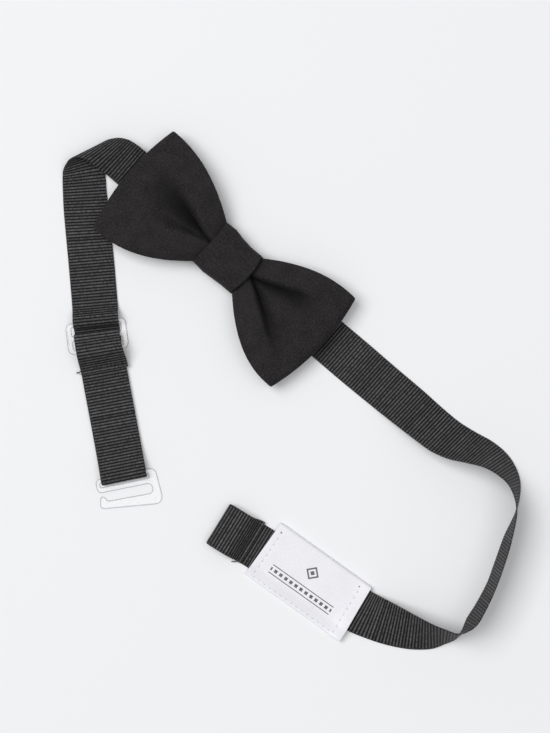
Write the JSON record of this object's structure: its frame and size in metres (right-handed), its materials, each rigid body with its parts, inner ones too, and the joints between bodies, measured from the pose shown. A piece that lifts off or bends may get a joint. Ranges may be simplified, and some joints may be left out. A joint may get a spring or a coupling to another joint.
{
  "type": "bow tie",
  "caption": "Ready-tied black bow tie with looped wings and a wrapped knot on an adjustable ribbed neck strap with a clear slider and hook, a sewn eye and a white label.",
  "frame": {"origin": "centre of the knot's flat back, which lies on the table", "axes": "+X along the bow towards the strap's sewn eye, +Y to the bow's upper edge, +Z out of the bow's front"},
  "size_m": [0.2674, 0.1442, 0.0202],
  "materials": {
    "bow_cloth": "matte fine plain weave",
    "grosgrain": "matte cross-ribbed ribbon",
    "interlining": "matte non-woven",
    "black_thread": "twisted sewing thread",
    "clear_plastic": "clear, polished",
    "label_satin": "smooth satin tape",
    "white_thread": "fine sewing thread"
  },
  "bodies": {
    "root": {"left_wing_front": "bow_cloth", "left_wing_back": "bow_cloth", "left_wing_interlining": "interlining", "right_wing_front": "bow_cloth", "right_wing_back": "bow_cloth", "right_wing_interlining": "interlining", "knot_band": "bow_cloth", "knot_seam_thread": "black_thread", "knot_interlining": "interlining", "bow_waist": "bow_cloth", "waist_thread": "black_thread", "strap_behind_bow": "grosgrain", "strap_left_turn": "grosgrain", "strap_left_run": "grosgrain", "strap_right_run": "grosgrain", "strap_right_rise": "grosgrain", "strap_right_side": "grosgrain", "strap_right_return": "grosgrain", "strap_label_run": "grosgrain", "strap_eye_base": "grosgrain", "strap_eye_loop": "grosgrain", "eye_stitches": "black_thread", "label": "label_satin", "label_stitches": "white_thread"},
    "adjuster": {"slider": "clear_plastic", "strap_weave": "grosgrain", "strap_end_flap": "grosgrain", "flap_stitches": "black_thread", "strap_front_layer": "grosgrain", "strap_rear_layer": "grosgrain"},
    "tail": {"strap_hook_fold": "grosgrain"},
    "hook": {"hook": "clear_plastic"}
  },
  "joints": [
    {"name": "slider_travel", "type": "slide", "parent": "root", "child": "adjuster", "axis": [0.729, -0.6845, 0], "range_m": [-0.018, 0.024], "deforming": ["strap_left_run"]},
    {"name": "tail_shift", "type": "slide", "parent": "adjuster", "child": "tail", "axis": [0.7934, -0.6088, 0], "range_m": [-0.0125, 0.0095], "deforming": ["strap_front_layer", "strap_rear_layer"]},
    {"name": "hook_swing", "type": "hinge", "parent": "tail", "child": "hook", "pos_m": [0.02996, -0.10191, 0.00225], "axis": [0.5948, 0.8039, 0], "range_deg": [-100, 100]}
  ],
  "couplings": [
    {"joint": "tail_shift", "follows": "slider_travel", "ratio": -0.5}
  ]
}
